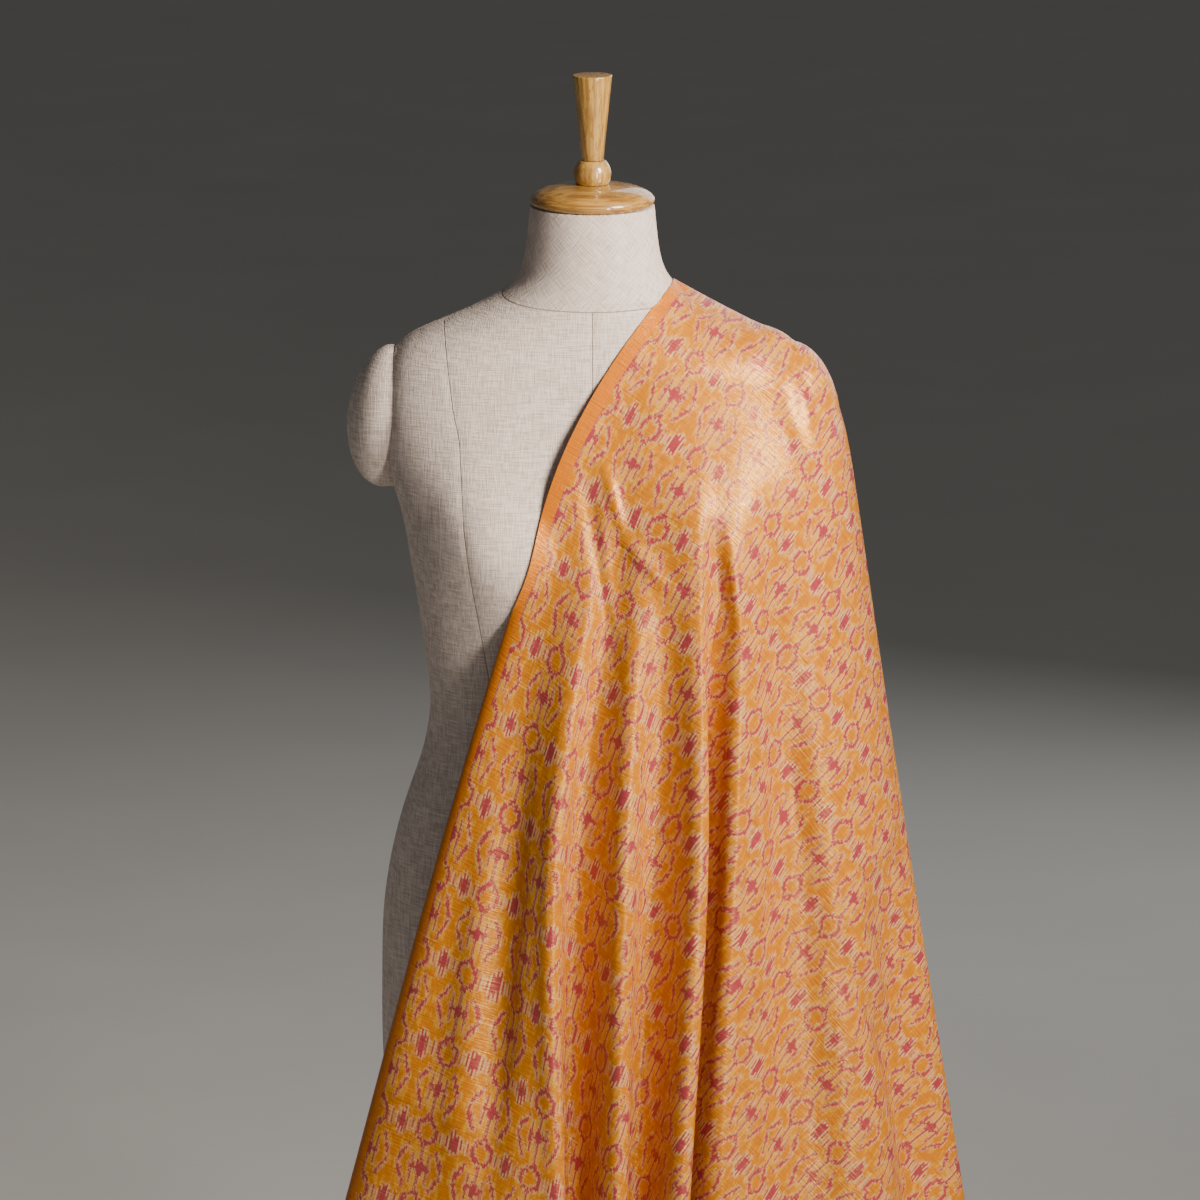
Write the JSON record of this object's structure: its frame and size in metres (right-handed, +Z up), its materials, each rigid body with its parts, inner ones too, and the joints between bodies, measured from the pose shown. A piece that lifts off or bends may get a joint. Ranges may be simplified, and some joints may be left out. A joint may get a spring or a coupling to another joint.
{
  "type": "ikat silk fabric length on a dress form",
  "caption": "Length of warp-ikat silk draped over one shoulder of a linen-covered dress form with a turned wooden finial, on a pole and a round foot.",
  "frame": {"origin": "on the floor, at the middle of the foot's underside, below the pole", "axes": "+Z up along the pole; the form faces -Y; +X is the form's left side, over which the cloth hangs"},
  "size_m": [0.6217, 0.4806, 1.6699],
  "materials": {
    "ikat_silk": "resist-dyed tussar silk, orange ground with maroon motifs, soft sheen",
    "linen": "slubby natural linen, matte",
    "varnished_wood": "light turned wood under gloss varnish",
    "board_wood": "sanded board, satin",
    "painted_iron": "black powder coat, satin",
    "steel_tube": "brushed"
  },
  "bodies": {
    "root": {"ikat_cloth": "ikat_silk", "torso": "linen", "arm_stub_left": "linen", "arm_stub_right": "linen", "neck_cap": "varnished_wood", "finial_ball": "varnished_wood", "finial_cone": "varnished_wood", "base_board": "board_wood", "pole_collar": "painted_iron", "pole": "steel_tube", "floor_foot": "painted_iron"}
  },
  "joints": []
}
